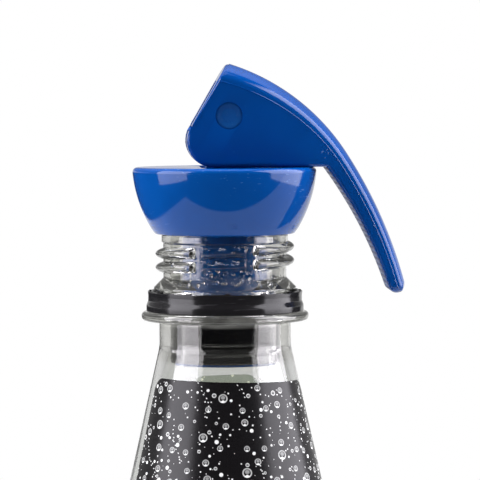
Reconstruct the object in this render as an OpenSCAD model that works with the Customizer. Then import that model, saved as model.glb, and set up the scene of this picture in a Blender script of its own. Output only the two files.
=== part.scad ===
// A clear blown soda bottle closed by a lever stopper. The stopper's cap sits on the rim; a stem runs down
// through it and through a rubber plug in the neck. Folding the lever down lifts the stem, squeezes the plug
// against the bore and locks.
// Origin: centre of the base, on the table. +Z runs up the bottle, +X towards the lever's arm.

/* [Bottle] */
// Height from the table to the rim
bottle_h = 230; // [215:1:245]
// Outside diameter of the body
body_d = 65; // [63:0.5:67]
// Wall of the blown body
body_wall = 0.5; // [0.4:0.05:0.7]
// Lean of the shoulder cone from the axis, in degrees
cone_angle = 12.75; // [12.3:0.1:13.4]
// Depth below the rim where the shoulder cone starts
cone_top = 22.2; // [21.5:0.1:25]
// Stretch over which the neck's wall thins to the body's
thinning_l = 24; // [20:1:30]
// Radius where the cone turns into the body
shoulder_r = 26; // [20:1:32]

/* [Bottle base] */
// Number of feet
foot_count = 5; // [4:1:6]
// Radius of the middle of each foot's pad
foot_ring_r = 20; // [19:0.5:21]
// Width of the pads, from the axis outwards
foot_pad_w = 6; // [5:0.5:7]
// Height where the heel meets the straight body
heel_h = 32; // [30:1:36]
// Height of the dimple in the middle of the base
dimple_h = 6.5; // [6:0.25:8]
// Radius at the crest of the valleys between the feet
valley_r = 4.5; // [4:0.25:6]
// Climb of the valleys from the middle outwards, in degrees
valley_climb = 33; // [31:0.5:35]
// Flare of the valleys' sides, in degrees
valley_flare = 13; // [10:1:16]

/* [Neck finish] */
// Bore of the neck
bore_d = 21.74; // [21.4:0.02:21.9]
// Outside diameter of the rim band
rim_d = 24.94; // [24.8:0.02:25.2]
// Height of the rim band
rim_h = 1.5; // [1.3:0.05:1.6]
// Diameter at the thread's root
root_d = 24.3; // [24.1:0.05:24.6]
// Outside diameter of the bead that held the torn-off cap's band
bead_d = 28.1; // [27.6:0.05:28.3]
// Depth below the rim where the flare to the bead starts
flare_top = 8.6; // [8.5:0.05:8.8]
// Depth below the rim of the support ring's top
ring_top = 15.3; // [15:0.05:15.6]
// Depth below the rim of the support ring's underside
ring_bottom = 17; // [16.8:0.05:17.6]
// Outside diameter of the support ring
ring_d = 33; // [32.4:0.1:34]
// Diameter of the neck below the support ring
neck_d = 26; // [25.6:0.1:26.6]

/* [Thread] */
// Diameter over the thread's crest
thread_d = 27.4; // [27:0.05:27.6]
// Rise of the thread in one turn
thread_pitch = 2.7; // [2.6:0.05:2.8]
// Height of the thread where it leaves the neck
thread_base_h = 2.2; // [1.8:0.05:2.3]
// Height of the thread at its crest
thread_crest_h = 0.8; // [0.6:0.05:1]
// Length of the thread, in degrees
thread_turn = 650; // [600:10:680]
// Depth below the rim of the crest where the thread starts
thread_start = 2.17; // [2.1:0.02:2.3]
// Width of the vents that cut the thread, in degrees
vent_w = 8; // [5:0.5:10]

/* [Labels] */
// Depth below the rim of the labels' top edge
label_top = 28.2; // [27:0.1:30]
// Depth below the rim of the labels' bottom edge
label_bottom = 96; // [80:1:98]
// Azimuth of the front label's middle, from the front towards the lever's side
front_label_turn = 5; // [-20:1:20]
// Half of the front label's wrap around the bottle, in degrees
front_label_half = 75; // [60:1:78]
// Azimuth of the back label's middle
back_label_turn = 178; // [172:0.5:188]
// Half of the back label's wrap around the bottle, in degrees
back_label_half = 30; // [20:1:32]
// Thickness of the labels
label_t = 0.12; // [0.08:0.01:0.25]
// Radius of the labels' corners
label_corner_r = 2.6; // [1:0.1:4]

/* [Tamper band] */
// Height of the band left behind by the torn-off cap
band_h = 4.1; // [3.6:0.05:4.2]
// Outside diameter of the band at its foot
band_d = 31.1; // [30.9:0.05:31.6]
// Wall of the band
band_wall = 0.9; // [0.7:0.05:1]
// Number of torn bridges on the band's top edge
bridge_count = 12; // [8:1:16]

/* [Stopper cap] */
// Diameter of the cap's flat top
cap_d = 36.4; // [35.4:0.1:38]
// Height of the cap above the rim
cap_h = 13.15; // [12.6:0.05:13.6]
// Radius of the curve down the cap's side
cap_curve_r = 26; // [24:0.5:30]
// Diameter of the boss that centres the cap in the neck
boss_d = 16.8; // [16:0.1:18]
// Length of the boss below the rim
boss_l = 14; // [13:0.25:15]

/* [Lever] */
// Height of the pin above the cap when the lever is locked down
lock_h = 10.1; // [9.8:0.05:10.4]
// Height of the pin above the cap when the lever is open
open_h = 5.35; // [5.2:0.05:5.7]
// Swing of the lever from locked to open, in degrees
swing = 120; // [116:1:122]
// Radius of the cam corner that rolls on the cap
cam_r = 5.2; // [5.1:0.05:5.3]
// Height of the lever's crown straight above the pin
crown_h = 10.3; // [9.8:0.05:11]
// Radius of the crown's curve
crown_r = 42.6; // [41:0.2:44]
// Radius of the arm's curve
arm_r = 90; // [84:1:96]
// Thickness of the arm where it leaves the head
arm_root_t = 5.2; // [4.8:0.1:5.6]
// Thickness of the arm at its tip
arm_tip_t = 3.6; // [3.2:0.1:4]
// Width of the lever's head
head_w = 16; // [15:0.1:17]
// Width of the arm at its tip
tip_w = 11.8; // [11:0.1:13]
// Radius of a plain dome as high as the lever's domed back
dome_r = 10; // [9.6:0.1:14]

/* [Stem and pin] */
// How far the stem and its pin stand off the cap's axis, towards the arm
pin_x = 0.65; // [0:0.05:1.1]
// Diameter of the pivot pin
pin_d = 5.2; // [5:0.05:5.4]
// Width of the stem's bar and of its eye
stem_w = 9; // [8.6:0.1:9.2]
// Thickness of the stem's bar
stem_t = 6; // [5:0.1:6.5]
// Diameter of the plate at the foot of the stem
plate_d = 20; // [19:0.1:20.4]
// Thickness of the plate at the foot of the stem
plate_t = 1.2; // [1:0.1:1.6]
// Length of the rubber plug when locked
plug_l = 10.5; // [10:0.25:11.5]

/* [Fits] */
// Gap between the stem and its slot in the cap and the plug
stem_gap = 0.1; // [0.05:0.01:0.2]
// Gap between the pin and the stem's eye, on the radius
pin_gap = 0.05; // [0.03:0.01:0.08]
// Gap between the pin and the lever's cheeks, on the radius
pin_grip = 0.01; // [0.01:0.005:0.02]
// Gap beside and over the stem's eye in the lever
eye_gap = 0.25; // [0.15:0.05:0.4]
// Gap between the lever and the cap it rolls on
cam_gap = 0.02; // [0.01:0.01:0.05]
// Gap between the plug and the neck's bore
plug_gap = 0.15; // [0.1:0.01:0.25]
// Gap between a label and the wall under it
label_gap = 0.02; // [0.01:0.01:0.05]

/* [Hidden] */
$fn = 96;
arc_steps = 6;      // flats in one rounded corner of a profile
curve_steps = 12;   // flats in one long curve of a profile

// ---- small tools for profiles ----
function unit(v) = v / norm(v);
function polar(r, a) = [r * cos(a), r * sin(a)];

// The points of corner b of the path a-b-c, rounded to radius r. A radius of 0 keeps the corner sharp.
function round_corner(a, b, c, r) =
    r == 0 ? [b] :
    let(u = unit(a - b), v = unit(c - b),
        half = acos(u * v) / 2,
        middle = b + unit(u + v) * r / sin(half),
        from = b + u * r / tan(half) - middle,
        to = b + v * r / tan(half) - middle,
        a0 = atan2(from[1], from[0]),
        turn = atan2(from[0] * to[1] - from[1] * to[0], from * to))
    [for (i = [0 : arc_steps]) middle + polar(r, a0 + turn * i / arc_steps)];

// A closed path of [x, y, corner radius] as plain points
function rounded(path) =
    let(n = len(path), xy = [for (p = path) [p[0], p[1]]])
    [for (i = [0 : n - 1]) each round_corner(xy[(i + n - 1) % n], xy[i], xy[(i + 1) % n], path[i][2])];

// Turns +X to a place around the bottle: 0 is the front (-Y), 90 is the lever's side (+X)
module around(azimuth) rotate([0, 0, azimuth - 90]) children();

// ---- bottle ----
bore_r = bore_d / 2;
neck_r = neck_d / 2;
body_r = body_d / 2;
ring_r = ring_d / 2;
bead_r = bead_d / 2;
rim_r = rim_d / 2;
root_r = root_d / 2;
rim_round = 0.4;
ring_round = 0.7;
flare_drop = bead_r - root_r;                  // a flare of 45 degrees
bead_land = 0.3;
undercut_drop = 0.9;
cone_end = cone_top + (body_r - neck_r) / tan(cone_angle);
function cone_radius(depth) = neck_r + (depth - cone_top) * tan(cone_angle);
heel_lean = 1.5;                               // how far the heel draws in above the feet
heel_bend = 14;                                // height of the heel's bend
foot_inner_r = foot_ring_r - foot_pad_w / 2;
foot_outer_r = foot_ring_r + foot_pad_w / 2;
dimple_r = 5;
valley_start_drop = 1.5;                       // how far below the dimple the valleys' crests meet
fudge = 1;                                     // how far a cutter runs past what it cuts

// The outside of the body from the cone down to the base, moved inwards by the wall's thickness
function shell_path(wall) = [
    [body_r - wall, bottle_h - cone_end - wall * tan(cone_angle / 2), shoulder_r],
    [body_r - wall, heel_h, 20],
    [body_r - heel_lean - wall, heel_bend, 12 - wall],
    [foot_outer_r - wall * 0.3, wall, 5 - wall],
    [foot_inner_r + wall * 0.3, wall, 5 - wall],
    [dimple_r + wall, dimple_h + wall, 2.5 + wall],
    [0, dimple_h + wall, 0]
];

module bottle_outside()
    rotate_extrude()
        polygon(rounded(concat([
            [0, bottle_h, 0],
            [rim_r, bottle_h, rim_round],
            [rim_r, bottle_h - rim_h, 0],
            [root_r, bottle_h - rim_h - (rim_r - root_r), 0],
            [root_r, bottle_h - flare_top, 0],
            [bead_r, bottle_h - flare_top - flare_drop, 0],
            [bead_r, bottle_h - flare_top - flare_drop - bead_land, 0],
            [root_r, bottle_h - flare_top - flare_drop - bead_land - undercut_drop, 0],
            [root_r, bottle_h - ring_top, 0],
            [ring_r, bottle_h - ring_top, ring_round],
            [ring_r, bottle_h - ring_bottom, ring_round],
            [neck_r, bottle_h - ring_bottom, 0],
            [neck_r, bottle_h - cone_top, 8]
        ], shell_path(0))));

// Inside, the neck's wall thins along the start of the cone, and from there the wall is even
module bottle_inside()
    rotate_extrude()
        polygon(rounded(concat([
            [0, bottle_h + fudge, 0],
            [bore_r, bottle_h + fudge, 0],
            [bore_r, bottle_h - cone_top, 4],
            [cone_radius(cone_top + thinning_l) - body_wall / cos(cone_angle), bottle_h - cone_top - thinning_l, 0]
        ], shell_path(body_wall))));

// The cut between two feet, and the same swelling inside the bottle, which stands off by the wall
module valley(stand_off) {
    r = valley_r + stand_off;
    side_l = 40;
    crest = [for (i = [0 : curve_steps]) polar(r, valley_flare + (180 - 2 * valley_flare) * i / curve_steps)];
    foot = side_l * [sin(valley_flare), -cos(valley_flare)];
    outline = concat(crest, [[crest[curve_steps][0] - foot[0], crest[curve_steps][1] + foot[1]]],
                     [crest[0] + foot]);
    translate([0, 0, dimple_h - valley_start_drop])
        rotate([0, -valley_climb, 0])
            rotate([90, 0, 90])
                translate([0, -valley_r, 0])
                    linear_extrude(2 * body_r)
                        polygon(outline);
}

module valleys(stand_off)
    for (i = [0 : foot_count - 1])
        around((i + 0.5) * 360 / foot_count) valley(stand_off);

// ---- thread ----
thread_from = 135;            // azimuth where the thread starts; it runs downwards past the lever's side
thread_sink = 0.3;            // how far the thread is rooted in the neck
thread_step = 6;              // degrees between the thread's sections
thread_fade = 24;             // degrees over which the thread's two ends run out
vent_azimuths = [-27, 21.5, 153, 201.5];

function thread_depth(turned) = thread_start + thread_pitch * turned / 360;
function thread_section(turned, size) =
    let(a = thread_from - turned - 90, z = bottle_h - thread_depth(turned),
        inner = root_r - thread_sink, outer = root_r + (thread_d / 2 - root_r) * size)
    [for (p = [[inner, thread_base_h / 2 + 0.1], [outer, thread_crest_h / 2], [outer, -thread_crest_h / 2],
               [inner, -thread_base_h / 2 - 0.1]])
        [p[0] * cos(a), p[0] * sin(a), z + p[1] * (0.5 + size / 2)]];

// A closed solid through rings of points that all hold the same number of points
module skin(rings) {
    n = len(rings[0]);
    last = len(rings) - 1;
    sides = [for (i = [0 : last - 1], j = [0 : n - 1])
        let(a = i * n + j, b = i * n + (j + 1) % n)
        each [[a, b, b + n], [a, b + n, a + n]]];
    ends = [[for (j = [n - 1 : -1 : 0]) j], [for (j = [0 : n - 1]) last * n + j]];
    polyhedron([for (r = rings) each r], concat(sides, ends));
}

function vent_near(turned) =
    min([for (v = vent_azimuths) abs(((thread_from - turned - v) % 360 + 540) % 360 - 180)]);

// Where the thread's segments begin and end: at its own two ends and at each vent
function vent_turns() = [for (lap = [0 : 2], v = vent_azimuths)
    let(t = thread_from - v + 360 * lap) if (t > 0 && t < thread_turn) t];
function sorted(list) = len(list) < 2 ? list :
    let(p = list[0]) concat(sorted([for (x = list) if (x < p) x]), [p], sorted([for (x = list) if (x > p) x]));

module thread_segment(from, to) {
    steps = max(2, ceil((to - from) / thread_step));
    skin([for (i = [0 : steps])
        let(t = from + (to - from) * i / steps,
            end_size = min(1, 0.35 + min(i, steps - i) * 0.65),
            run_out = min(1, (0.2 + 0.8 * min(t, thread_turn - t) / thread_fade)))
        thread_section(t, min(end_size, max(0.2, run_out)))]);
}

module thread() {
    cuts = sorted(vent_turns());
    starts = concat([0], [for (c = cuts) c + vent_w / 2]);
    stops = concat([for (c = cuts) c - vent_w / 2], [thread_turn]);
    for (i = [0 : len(starts) - 1])
        if (stops[i] - starts[i] > thread_step) thread_segment(starts[i], stops[i]);
}

module bottle()
    color([0.86, 0.89, 0.91, 0.35])
        difference() {
            union() {
                difference() {
                    bottle_outside();
                    valleys(0);
                }
                thread();
            }
            difference() {
                bottle_inside();
                valleys(body_wall);
            }
        }

// ---- labels ----
corner_bite = 0.03;           // how far a corner's round stands off from the two edges that it joins

// What lies outside a corner's round, cut through the label
module corner_cutter()
    rotate([0, 90, 0])
        linear_extrude(4 * label_corner_r, center = true)
            difference() {
                square(label_corner_r + fudge);
                circle(label_corner_r);
            }

// Sets a corner cutter at a depth and an azimuth, lying along the cone's wall
module at_label_corner(azimuth, depth, side, edge)
    around(azimuth)
        translate([cone_radius(depth), 0, bottle_h - depth])
            rotate([0, -cone_angle, 0])
                mirror([0, side < 0 ? 1 : 0, 0])
                    mirror([0, 0, edge > 0 ? 1 : 0])
                        translate([0, corner_bite - label_corner_r, label_corner_r - corner_bite])
                            corner_cutter();

module label(middle, half_wrap) {
    stand_off = label_gap / cos(cone_angle);
    thick = label_t / cos(cone_angle);
    difference() {
        around(middle - half_wrap)
            rotate_extrude(angle = 2 * half_wrap)
                polygon([
                    [cone_radius(label_top) + stand_off, bottle_h - label_top],
                    [cone_radius(label_top) + stand_off + thick, bottle_h - label_top],
                    [cone_radius(label_bottom) + stand_off + thick, bottle_h - label_bottom],
                    [cone_radius(label_bottom) + stand_off, bottle_h - label_bottom]
                ]);
        for (side = [-1, 1], edge = [[label_top, 1], [label_bottom, -1]])
            at_label_corner(middle + side * half_wrap, edge[0], side, edge[1]);
    }
}

module front_label() color([0.06, 0.06, 0.07]) label(front_label_turn, front_label_half);
module back_label() color([0.10, 0.11, 0.11]) label(back_label_turn, back_label_half);

// ---- tamper band ----
band_waist = 0.35;            // how far the band draws in between its foot and its top
bridge_w = 1.6;
bridge_h = 0.25;
band_gap = 0.02;              // how far the band's foot stands over the support ring

module tamper_band() {
    foot_z = bottle_h - ring_top + band_gap;
    r = band_d / 2;
    color([0.09, 0.09, 0.10]) {
        rotate_extrude()
            polygon(rounded([
                [r, foot_z, 0.25],
                [r - 0.05, foot_z + band_h * 0.3, 0],
                [r - band_waist, foot_z + band_h * 0.5, 0],
                [r - band_waist, foot_z + band_h * 0.8, 0],
                [r - band_waist + 0.1, foot_z + band_h, 0.2],
                [r - band_waist - band_wall, foot_z + band_h, 0.2],
                [r - band_waist - band_wall, foot_z, 0.2]
            ]));
        for (i = [0 : bridge_count - 1])
            around(i * 360 / bridge_count)
                translate([r - band_waist - band_wall * 0.75, -bridge_w / 2, foot_z + band_h - bridge_h])
                    cube([band_wall * 0.5, bridge_w, 2 * bridge_h]);
    }
}

// ---- stopper cap ----
cap_top_z = bottle_h + cap_h;
cap_r = cap_d / 2;
boss_r = boss_d / 2;
cap_lean = 3;                 // lean of the cap's side at its top edge, in degrees
cap_edge_round = 0.9;
cap_foot_round = 0.7;
cap_foot_in = 0.1;            // how far the underside draws in from the side's last point
boss_round = 0.6;
head_clear = 0.35;            // gap beside the lever in the cam seat

// Radius of the cap's side at a drop below its top: an arc that starts almost upright
function cap_side(drop) =
    let(start = cap_curve_r * sin(cap_lean))
    cap_r - cap_curve_r * (cos(cap_lean) - cos(asin((drop + start) / cap_curve_r)));

// The cam, drawn around the pin: a corner of radius cam_r between the locked flat, which looks down, and the
// face that the open lever rests on
face_normal = 270 - swing;
cam_centre_y = cam_r - lock_h;
cam_centre = [(open_h - cam_r - cam_centre_y * sin(face_normal)) / cos(face_normal), cam_centre_y];
cam_arm = norm(cam_centre);
cam_peak = -90 - atan2(cam_centre[1], cam_centre[0]);   // swing at which the cam corner is straight below the pin

// The seat that clears the cam as it rolls: a trough along Y under the pin, as deep as the cam dips when the
// stem sinks evenly with the swing
stem_drop = lock_h - open_h - 0.01;
function cam_dip(turned) = cam_arm * cos(turned - cam_peak) + cam_r - lock_h + stem_drop * turned / swing;
seat_r = 2 * cam_r;
seat_x = 1.8;
seat_clear = 0.4;
seat_sink = max([for (t = [0 : 4 : swing]) cam_dip(t)]) + seat_clear;

module stem_slot(z0, z1)
    translate([pin_x - stem_w / 2 - stem_gap, -stem_t / 2 - stem_gap, z0])
        cube([stem_w + 2 * stem_gap, stem_t + 2 * stem_gap, z1 - z0]);

module stopper_cap()
    color([0.02, 0.26, 0.62])
        difference() {
            rotate_extrude()
                polygon(rounded(concat(
                    [[0, cap_top_z, 0], [cap_r, cap_top_z, cap_edge_round]],
                    [for (i = [1 : curve_steps - 1])
                        let(drop = cap_edge_round + (cap_h - cap_foot_round - cap_edge_round) * i / curve_steps)
                        [cap_side(drop), cap_top_z - drop, 0]],
                    [[cap_side(cap_h) - cap_foot_in, bottle_h, cap_foot_round],
                     [boss_r, bottle_h, 0],
                     [boss_r, bottle_h - boss_l, boss_round],
                     [0, bottle_h - boss_l, 0]])));
            stem_slot(bottle_h - boss_l - fudge, cap_top_z + fudge);
            translate([pin_x + seat_x, 0, cap_top_z + seat_r - seat_sink])
                rotate([90, 0, 0])
                    cylinder(r = seat_r, h = head_w + 2 * head_clear, center = true);
        }

// ---- rubber plug ----
plug_r = bore_r - plug_gap;
plug_top_z = bottle_h - boss_l;
plug_round = 1.2;

module rubber_plug()
    color([0.07, 0.07, 0.08])
        difference() {
            rotate_extrude()
                polygon(rounded([
                    [0, plug_top_z, 0],
                    [plug_r, plug_top_z, plug_round],
                    [plug_r, plug_top_z - plug_l, plug_round],
                    [0, plug_top_z - plug_l, 0]
                ]));
            stem_slot(plug_top_z - plug_l - fudge, plug_top_z + fudge);
        }

// ---- stem ----
pin_z = cap_top_z + lock_h + cam_gap;
eye_r = stem_w / 2;

module stem()
    color([0.02, 0.24, 0.58])
        difference() {
            union() {
                translate([pin_x - stem_w / 2, -stem_t / 2, plug_top_z - plug_l - plate_t])
                    cube([stem_w, stem_t, pin_z - plug_top_z + plug_l + plate_t]);
                translate([pin_x, 0, pin_z])
                    rotate([90, 0, 0])
                        cylinder(r = eye_r, h = stem_t, center = true);
                translate([0, 0, plug_top_z - plug_l - plate_t])
                    cylinder(d = plate_d, h = plate_t);
            }
            translate([pin_x, 0, pin_z])
                rotate([90, 0, 0])
                    cylinder(r = pin_d / 2 + pin_gap, h = stem_t + 2 * fudge, center = true);
        }

// ---- lever, drawn around its pin: x towards the arm, y up ----
crown_slope = 16.85;          // slope of the crown straight above the pin, in degrees
join_slope = 56.9;            // slope where the crown's curve meets the arm's
tip_slope = 75.5;             // slope where the arm ends in its round tip
head_steps = 7;
arm_steps = 12;
tip_steps = 4;
edge_round = 1;               // rounding of the lever's lower long edges
section_steps = 6;            // flats across the domed back
shoulder_steps = 3;           // flats in the round between the domed back and an upright side
shoulder_share = 0.66;        // share of a plain dome's slope at which the domed back ends in that round
slot_r = eye_r + eye_gap;

crown_centre = [-crown_r * sin(crown_slope), crown_h - crown_r * cos(crown_slope)];
arm_centre = crown_centre - (arm_r - crown_r) * [sin(join_slope), cos(join_slope)];
arm_root_x = arm_centre[0] + (arm_r - arm_root_t) * sqrt(1 - pow((-lock_h - arm_centre[1]) / (arm_r - arm_root_t), 2));

function crown_point(slope) = crown_centre + crown_r * [sin(slope), cos(slope)];
function arm_point(slope, inwards) = arm_centre + (arm_r - inwards) * [sin(slope), cos(slope)];
function arm_t(slope) = arm_root_t + (arm_tip_t - arm_root_t) * (slope - join_slope) / (tip_slope - join_slope);

// The slope at which the crown's curve meets the resting face
face_offset = open_h - crown_centre * polar(1, face_normal);
apex_slope = 90 - face_normal + acos(face_offset / crown_r);

// Width of the lever falls evenly with the slope of its back
function width_at(slope) = head_w + (tip_w - head_w) * (slope - apex_slope) / (tip_slope - apex_slope);

// Stations of the sweep: [point on the back, point underneath, width, full height there]
function mixed(a, b, t) = a + (b - a) * t;
cam_share = 0.28;             // share of the crown's curve that lies over the cam corner
function head_station(slope, under) =
    let(top = crown_point(slope)) [top, under, width_at(slope), norm(top - under)];
cam_stations = [for (i = [0 : head_steps])
    let(t = i / head_steps)
    head_station(mixed(apex_slope, join_slope, cam_share * t),
                 cam_centre + polar(cam_r, mixed(face_normal, 270, t)))];
flat_stations = [for (i = [1 : head_steps])
    let(t = i / head_steps)
    head_station(mixed(apex_slope, join_slope, mixed(cam_share, 1, t)),
                 [mixed(cam_centre[0], arm_root_x, t), -lock_h])];
arm_stations = [for (i = [1 : arm_steps])
    let(s = mixed(join_slope, tip_slope, i / arm_steps))
    [arm_point(s, 0), arm_point(s, arm_t(s)), width_at(s), arm_t(s)]];
tip_round = 3;                // rounding of the tip's two corners, seen from outside
tip_way = [cos(tip_slope), -sin(tip_slope)];
tip_middle = arm_point(tip_slope, arm_tip_t / 2);
tip_out = [sin(tip_slope), cos(tip_slope)];
tip_stations = [for (i = [1 : tip_steps])
    let(a = 84 * i / tip_steps, m = tip_middle + tip_way * arm_tip_t / 2 * sin(a),
        h = arm_tip_t / 2 * cos(a))
    [m + tip_out * h, m - tip_out * h, tip_w - 2 * tip_round * (1 - cos(a)), arm_tip_t]];

// The back across a lever of width w: a flatter dome between two tighter rounds, dome_low high in all
function back_line(w) =
    let(dome_low = dome_r - sqrt(dome_r * dome_r - w * w / 4),
        slope = shoulder_share * asin(w / 2 / dome_r), rise = tan(slope / 2),
        shoulder_r = (dome_low - w / 2 * rise) / (cos(slope) - (1 - sin(slope)) * rise),
        back_r = (w / 2 - shoulder_r * (1 - sin(slope))) / sin(slope),
        shoulder = [for (i = [0 : shoulder_steps]) let(a = 90 + (slope - 90) * i / shoulder_steps)
            [w / 2 - shoulder_r * (1 - sin(a)), shoulder_r * cos(a) - dome_low]])
    concat(shoulder,
        [for (i = [1 : section_steps - 1]) let(a = slope * (1 - 2 * i / section_steps))
            [back_r * sin(a), back_r * (cos(a) - 1)]],
        [for (i = [shoulder_steps : -1 : 0]) [-shoulder[i][0], shoulder[i][1]]]);

// One section: a flat underside with rounded edges, upright sides and a domed back
function lever_section(station) =
    let(top = station[0], under = station[1], w = station[2], full = station[3],
        scale_h = norm(top - under) / full, up = unit(top - under),
        e = min(edge_round, full / 3),
        outline = concat(
            [for (i = [0 : 3]) let(a = 30 * i) [w / 2 - e + e * sin(a), e - e * cos(a)]],
            [for (p = back_line(w)) [p[0], full + p[1]]],
            [for (i = [3 : -1 : 0]) let(a = 30 * i) [-(w / 2 - e + e * sin(a)), e - e * cos(a)]]))
    [for (p = outline) let(xz = under + up * p[1] * scale_h) [xz[0], p[0], xz[1]]];

// The slot for the stem's eye, open from straight down round to the resting face
module eye_slot() {
    reach = 30;
    slot_far = polar(reach, face_normal);
    upper = polar(slot_r, face_normal - 90);
    rotate([90, 0, 0])
        linear_extrude(stem_t + 2 * eye_gap, center = true) {
            circle(slot_r);
            polygon([[0, 0], upper, upper + slot_far, slot_far + [0, -reach], [slot_r, -reach], [slot_r, 0]]);
        }
}

module lever()
    color([0.02, 0.27, 0.64])
        translate([pin_x, 0, pin_z])
            difference() {
                skin([for (s = concat(cam_stations, flat_stations, arm_stations, tip_stations)) lever_section(s)]);
                eye_slot();
                rotate([90, 0, 0])
                    cylinder(r = pin_d / 2 + pin_grip, h = 2 * head_w, center = true);
            }

// ---- pivot pin ----
pin_recess = 0.15;            // how far the pin's ends lie below the lever's cheeks
module pivot_pin()
    color([0.02, 0.22, 0.55])
        translate([pin_x, 0, pin_z])
            rotate([90, 0, 0])
                cylinder(d = pin_d, h = width_at(2 * crown_slope) - 2 * pin_recess, center = true);

bottle();
front_label();
back_label();
tamper_band();
stopper_cap();
rubber_plug();
stem();
lever();
pivot_pin();
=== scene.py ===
import math
import random

import bmesh
import bpy
from mathutils import Matrix, Vector


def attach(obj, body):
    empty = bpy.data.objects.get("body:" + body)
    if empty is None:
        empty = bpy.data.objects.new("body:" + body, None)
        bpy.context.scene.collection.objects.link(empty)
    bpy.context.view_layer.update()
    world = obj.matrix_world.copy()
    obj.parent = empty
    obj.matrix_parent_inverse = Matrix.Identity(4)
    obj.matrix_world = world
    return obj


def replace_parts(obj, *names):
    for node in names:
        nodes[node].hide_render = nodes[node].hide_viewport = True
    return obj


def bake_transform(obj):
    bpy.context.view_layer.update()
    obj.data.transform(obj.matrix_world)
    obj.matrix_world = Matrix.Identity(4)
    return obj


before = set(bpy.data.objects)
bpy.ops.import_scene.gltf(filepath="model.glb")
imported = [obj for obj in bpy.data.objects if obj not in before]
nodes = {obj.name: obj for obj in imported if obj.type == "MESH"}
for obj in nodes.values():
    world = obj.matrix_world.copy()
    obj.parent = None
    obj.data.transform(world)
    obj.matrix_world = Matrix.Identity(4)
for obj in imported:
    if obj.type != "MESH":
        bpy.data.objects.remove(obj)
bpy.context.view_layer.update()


mm = 0.001  # sizes below are in millimetres unless a note says otherwise
print("frame loaded:", ", ".join(sorted(nodes)))

# what several pieces share, as in the construction
rimZ = 230.0
coneAngle = math.radians(12.75)
capTopZ = rimZ + 13.15
pinZ = capTopZ + 10.12
pinX = 0.65
boreR = 10.87


# drawing tools
weld = 0.002  # points nearer than this are merged


def deselectAll():
    if bpy.context.object and bpy.context.object.mode != "OBJECT":
        bpy.ops.object.mode_set(mode="OBJECT")
    for o in list(bpy.context.selected_objects):
        o.select_set(False)


def makeActive(*pieces):
    deselectAll()
    for p in pieces:
        p.select_set(True)
    bpy.context.view_layer.objects.active = pieces[0]


def roundCorner(a, b, c, radius, steps):
    u, v = (a - b).normalized(), (c - b).normalized()
    half = math.acos(max(-1, min(1, u.dot(v)))) / 2
    middle = b + (u + v).normalized() * radius / math.sin(half)
    start = b + u * radius / math.tan(half) - middle
    end = b + v * radius / math.tan(half) - middle
    turn = math.atan2(start.x * end.y - start.y * end.x, start.dot(end))
    first = math.atan2(start.y, start.x)
    angles = [first + turn * i / steps for i in range(steps + 1)]
    return [middle + Vector((math.cos(a), math.sin(a))) * radius for a in angles]


def roundedLine(path, steps=6):
    # path holds (x, y, corner radius); its two ends stay
    flat = [Vector(p[:2]) for p in path]
    line = [flat[0]]
    for i in range(1, len(path) - 1):
        radius = path[i][2]
        line += roundCorner(flat[i - 1], flat[i], flat[i + 1], radius, steps) if radius else [flat[i]]
    return line + [flat[-1]]


def finer(line, longest):
    # longest(height) is the longest step allowed there
    result = [line[0]]
    for a, b in zip(line, line[1:]):
        n = max(1, math.ceil((b - a).length / longest((a.y + b.y) / 2) - 1e-6))
        result += [a.lerp(b, i / n) for i in range(1, n + 1)]
    return result


def drawLine(name, points):
    # one vertex, extruded from point to point
    deselectAll()
    bpy.ops.mesh.primitive_plane_add(size=mm)
    piece = bpy.context.object
    piece.name = name
    bpy.ops.object.mode_set(mode="EDIT")
    bpy.ops.mesh.merge(type="CENTER")
    bpy.ops.transform.translate(value=points[0])
    for a, b in zip(points, points[1:]):
        bpy.ops.mesh.extrude_region_move(TRANSFORM_OT_translate={"value": b - a})
    return piece


def spun(name, line, steps, angle=360.0, start=0.0, axis=(0, 0, 1), centre=(0, 0, 0)):
    # line holds (radius, height) about Z, or (radius, along) about Y; start is an azimuth: 0 is -Y, 90 is +X
    if axis[2]:
        a = math.radians(start - 90)
        points = [Vector((p.x * mm * math.cos(a), p.x * mm * math.sin(a), p.y * mm)) for p in line]
    else:
        points = [Vector((p.x * mm, p.y * mm, 0)) + Vector(centre) for p in line]
    piece = drawLine(name, points)
    bpy.ops.mesh.select_all(action="SELECT")
    bpy.ops.mesh.spin(steps=steps, angle=-math.radians(angle), center=centre, axis=axis)
    bpy.ops.mesh.select_all(action="SELECT")
    bpy.ops.mesh.remove_doubles(threshold=weld * mm)
    bpy.ops.mesh.normals_make_consistent(inside=False)
    bpy.ops.object.mode_set(mode="OBJECT")
    return piece


def drawnOut(name, rings):
    # a filled ring, extruded from station to station; each ring holds as many points
    deselectAll()
    bpy.ops.mesh.primitive_circle_add(vertices=len(rings[0]), radius=mm, fill_type="NGON")
    piece = bpy.context.object
    piece.name = name
    bpy.ops.object.mode_set(mode="EDIT")
    for k, ring in enumerate(rings):
        if k:
            bpy.ops.mesh.extrude_region_move()
        shape = bmesh.from_edit_mesh(piece.data)
        shape.verts.ensure_lookup_table()
        for j, p in enumerate(ring):
            shape.verts[k * len(ring) + j].co = Vector(p) * mm
        bmesh.update_edit_mesh(piece.data)
    bpy.ops.mesh.select_all(action="SELECT")
    bpy.ops.mesh.normals_make_consistent(inside=False)
    bpy.ops.object.mode_set(mode="OBJECT")
    return piece


def slab(name, outline, low, high):
    # an outline of (x, z) drawn out along Y from low to high
    return drawnOut(name, [[(p[0], y, p[1]) for p in outline] for y in (low, high)])


def crossRod(radius, length, x, z, vertices=96):
    # a round rod along Y, to cut with
    deselectAll()
    bpy.ops.mesh.primitive_cylinder_add(vertices=vertices, radius=radius * mm, depth=length * mm,
                                        location=(x * mm, 0, z * mm), rotation=(math.radians(90), 0, 0))
    return bpy.context.object


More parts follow.
